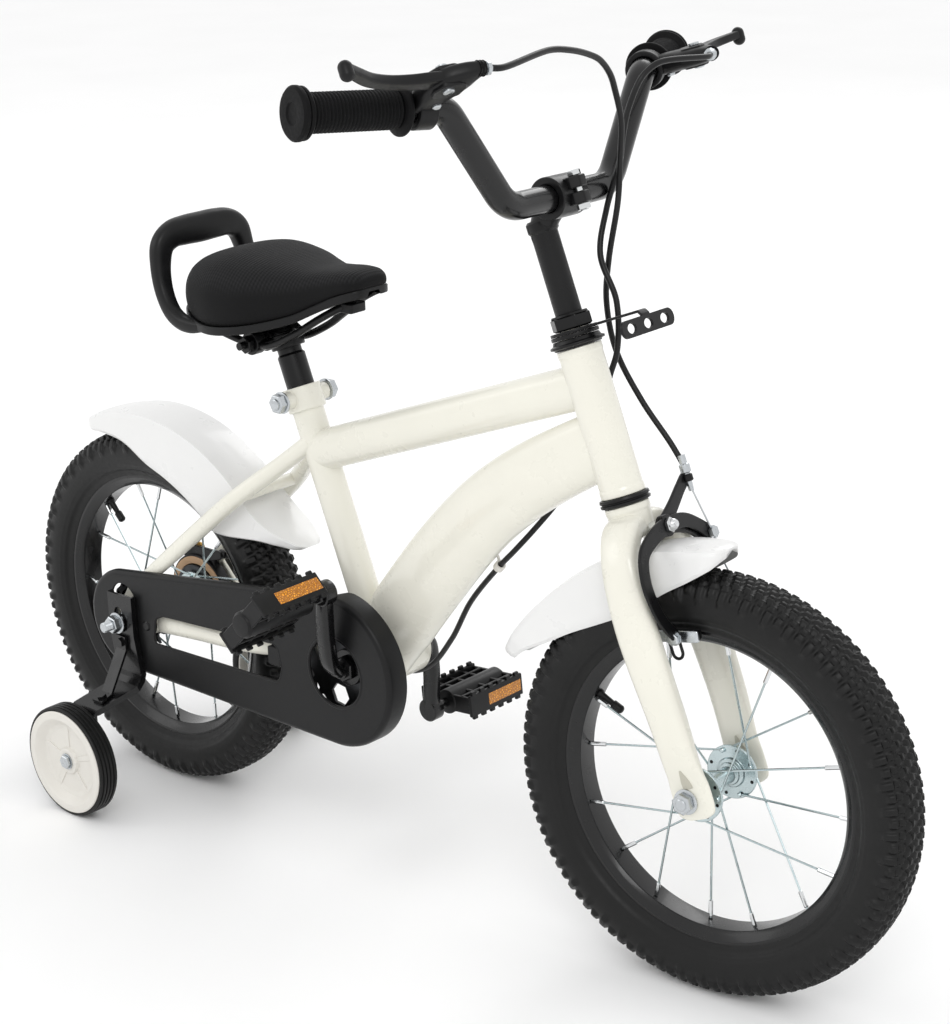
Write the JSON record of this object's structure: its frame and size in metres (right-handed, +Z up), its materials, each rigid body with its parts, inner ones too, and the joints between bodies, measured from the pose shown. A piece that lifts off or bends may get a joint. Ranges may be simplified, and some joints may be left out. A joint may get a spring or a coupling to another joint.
{
  "type": "kids bike with training wheels",
  "caption": "Small child's bicycle with a diamond frame, training wheels, rim and band brakes, a covered chain drive, fenders and a padded saddle with a rear handle.",
  "frame": {"origin": "on the floor in the middle plane of the bicycle, midway between the two wheel axles", "axes": "+X forward, +Y to the rider's left, +Z up"},
  "size_m": [1.0149, 0.5381, 0.7763],
  "materials": {
    "ivory_paint": "gloss",
    "black_steel": "satin",
    "zinc_steel": "satin",
    "chrome_steel": "polished",
    "brass_metal": "satin",
    "white_plastic": "gloss",
    "fender_plastic": "cool white, gloss",
    "mesh_fabric": "matte spacer mesh",
    "cable_skin": "satin",
    "grip_rubber": "matte",
    "tyre_rubber": "matte",
    "black_plastic": "satin",
    "black_paint": "semi-gloss"
  },
  "bodies": {
    "frame_body": {"frame": "ivory_paint", "headset_upper_cup": "black_steel", "headset_lower_cup": "black_steel", "seat_clamp_bolt_right": "zinc_steel", "seat_clamp_bolt_left": "zinc_steel", "rear_fender": "fender_plastic", "rear_axle": "zinc_steel", "bottom_bracket_cup_right": "black_steel", "bottom_bracket_cup_left": "black_steel", "chain_guard": "black_plastic", "stabiliser_bracket_right": "black_paint", "stabiliser_bracket_left": "black_paint", "stabiliser_brace_right": "black_paint", "stabiliser_brace_left": "black_paint", "stabiliser_bolt_right": "zinc_steel", "stabiliser_bolt_left": "zinc_steel", "band_brake_cover": "black_steel", "cable_clip": "white_plastic", "chain": "zinc_steel", "rear_brake_cable": "cable_skin"},
    "steering_body": {"fork": "ivory_paint", "headset_race": "black_steel", "headset_locknut": "black_steel", "front_bracket": "black_steel", "stem": "black_steel", "stem_bolt": "chrome_steel", "handlebar": "black_paint", "grip_right": "grip_rubber", "grip_left": "grip_rubber", "brake_lever_body_right": "black_plastic", "brake_lever_body_left": "black_plastic", "front_fender": "fender_plastic", "caliper_bolt": "chrome_steel", "front_axle": "zinc_steel", "front_brake_cable": "cable_skin"},
    "front_wheel_body": {"front_tyre": "tyre_rubber", "front_rim": "black_paint", "front_hub_spokes": "zinc_steel"},
    "rear_wheel_body": {"rear_tyre": "tyre_rubber", "rear_rim": "black_paint", "rear_hub_spokes": "zinc_steel"},
    "freewheel_body": {"freewheel_sprocket": "zinc_steel"},
    "crank_body": {"crank": "black_steel", "chainring": "black_steel"},
    "pedal_right_body": {"pedal_right": "black_plastic"},
    "pedal_left_body": {"pedal_left": "black_plastic"},
    "stabiliser_wheel_right_body": {"stabiliser_disc_right": "white_plastic", "stabiliser_tyre_right": "tyre_rubber"},
    "stabiliser_wheel_left_body": {"stabiliser_disc_left": "white_plastic", "stabiliser_tyre_left": "tyre_rubber"},
    "brake_lever_right_body": {"brake_lever_right": "black_plastic"},
    "brake_lever_left_body": {"brake_lever_left": "black_plastic"},
    "caliper_arm_left_body": {"caliper_arm_left": "black_steel"},
    "caliper_arm_right_body": {"caliper_arm_right": "black_steel"},
    "band_brake_arm_body": {"band_brake_arm": "brass_metal"},
    "seat_body": {"seat_post": "zinc_steel", "saddle_clamp": "black_steel", "saddle_rails": "black_steel", "saddle_base": "black_plastic", "saddle_pad": "mesh_fabric"}
  },
  "joints": [
    {"name": "steering_turn", "type": "hinge", "parent": "frame_body", "child": "steering_body", "pos_m": [0.32627, 0, 0.17657], "axis": [-0.3584, 0, 0.9336], "range_deg": [-56.76, 43.24], "deforming": ["rear_brake_cable"]},
    {"name": "front_wheel_spin", "type": "hinge", "parent": "steering_body", "child": "front_wheel_body", "pos_m": [0.32997, 0.00047, 0.17799], "axis": [-0.1099, 0.993, -0.0422], "continuous": true},
    {"name": "rear_wheel_spin", "type": "hinge", "parent": "frame_body", "child": "rear_wheel_body", "pos_m": [-0.33, 0, 0.178], "axis": [0, 1, 0], "continuous": true},
    {"name": "crank_spin", "type": "hinge", "parent": "frame_body", "child": "crank_body", "pos_m": [-0.0402, 0, 0.198], "axis": [0, 1, 0], "continuous": true, "deforming": ["chain"]},
    {"name": "freewheel_spin", "type": "hinge", "parent": "frame_body", "child": "freewheel_body", "pos_m": [-0.33, 0, 0.178], "axis": [0, 1, 0], "continuous": true},
    {"name": "pedal_right_spin", "type": "hinge", "parent": "crank_body", "child": "pedal_right_body", "pos_m": [-0.02916, -0.14, 0.28188], "axis": [0, 1, 0], "continuous": true},
    {"name": "pedal_left_spin", "type": "hinge", "parent": "crank_body", "child": "pedal_left_body", "pos_m": [-0.05124, 0.13, 0.11412], "axis": [0, 1, 0], "continuous": true},
    {"name": "stabiliser_right_spin", "type": "hinge", "parent": "frame_body", "child": "stabiliser_wheel_right_body", "pos_m": [-0.336, -0.1335, 0.0552], "axis": [0, 1, 0], "continuous": true},
    {"name": "stabiliser_left_spin", "type": "hinge", "parent": "frame_body", "child": "stabiliser_wheel_left_body", "pos_m": [-0.336, 0.1335, 0.0552], "axis": [0, 1, 0], "continuous": true},
    {"name": "brake_lever_right_pull", "type": "hinge", "parent": "steering_body", "child": "brake_lever_right_body", "pos_m": [0.20852, -0.16052, 0.75141], "axis": [0.5168, -0.2025, -0.8318], "range_deg": [0, 20], "stiffness_Nm_per_rad": 1.5, "springref_deg": -11.46},
    {"name": "brake_lever_left_pull", "type": "hinge", "parent": "steering_body", "child": "brake_lever_left_body", "pos_m": [0.17546, 0.1808, 0.72555], "axis": [-0.2378, -0.1179, 0.9641], "range_deg": [0, 20], "stiffness_Nm_per_rad": 1.5, "springref_deg": -11.46},
    {"name": "caliper_left_squeeze", "type": "hinge", "parent": "steering_body", "child": "caliper_arm_left_body", "pos_m": [0.27625, 0.0033, 0.38445], "axis": [-0.9271, -0.1177, -0.3559], "range_deg": [0, 1], "deforming": ["front_brake_cable"]},
    {"name": "caliper_right_squeeze", "type": "hinge", "parent": "steering_body", "child": "caliper_arm_right_body", "pos_m": [0.27625, 0.0033, 0.38445], "axis": [0.9271, 0.1177, 0.3559], "range_deg": [0, 1]},
    {"name": "band_brake_arm_pull", "type": "hinge", "parent": "frame_body", "child": "band_brake_arm_body", "pos_m": [-0.352, 0.0418, 0.217], "axis": [0, 1, 0], "range_deg": [0, 4]},
    {"name": "seat_height", "type": "slide", "parent": "frame_body", "child": "seat_body", "axis": [-0.3551, 0, 0.9348], "range_m": [-0.03, 0.05]}
  ],
  "couplings": [
    {"joint": "freewheel_spin", "follows": "crank_spin", "ratio": 1.75},
    {"joint": "caliper_left_squeeze", "follows": "brake_lever_right_pull", "ratio": 0.05},
    {"joint": "caliper_right_squeeze", "follows": "brake_lever_right_pull", "ratio": 0.05},
    {"joint": "band_brake_arm_pull", "follows": "brake_lever_left_pull", "ratio": 0.2}
  ]
}
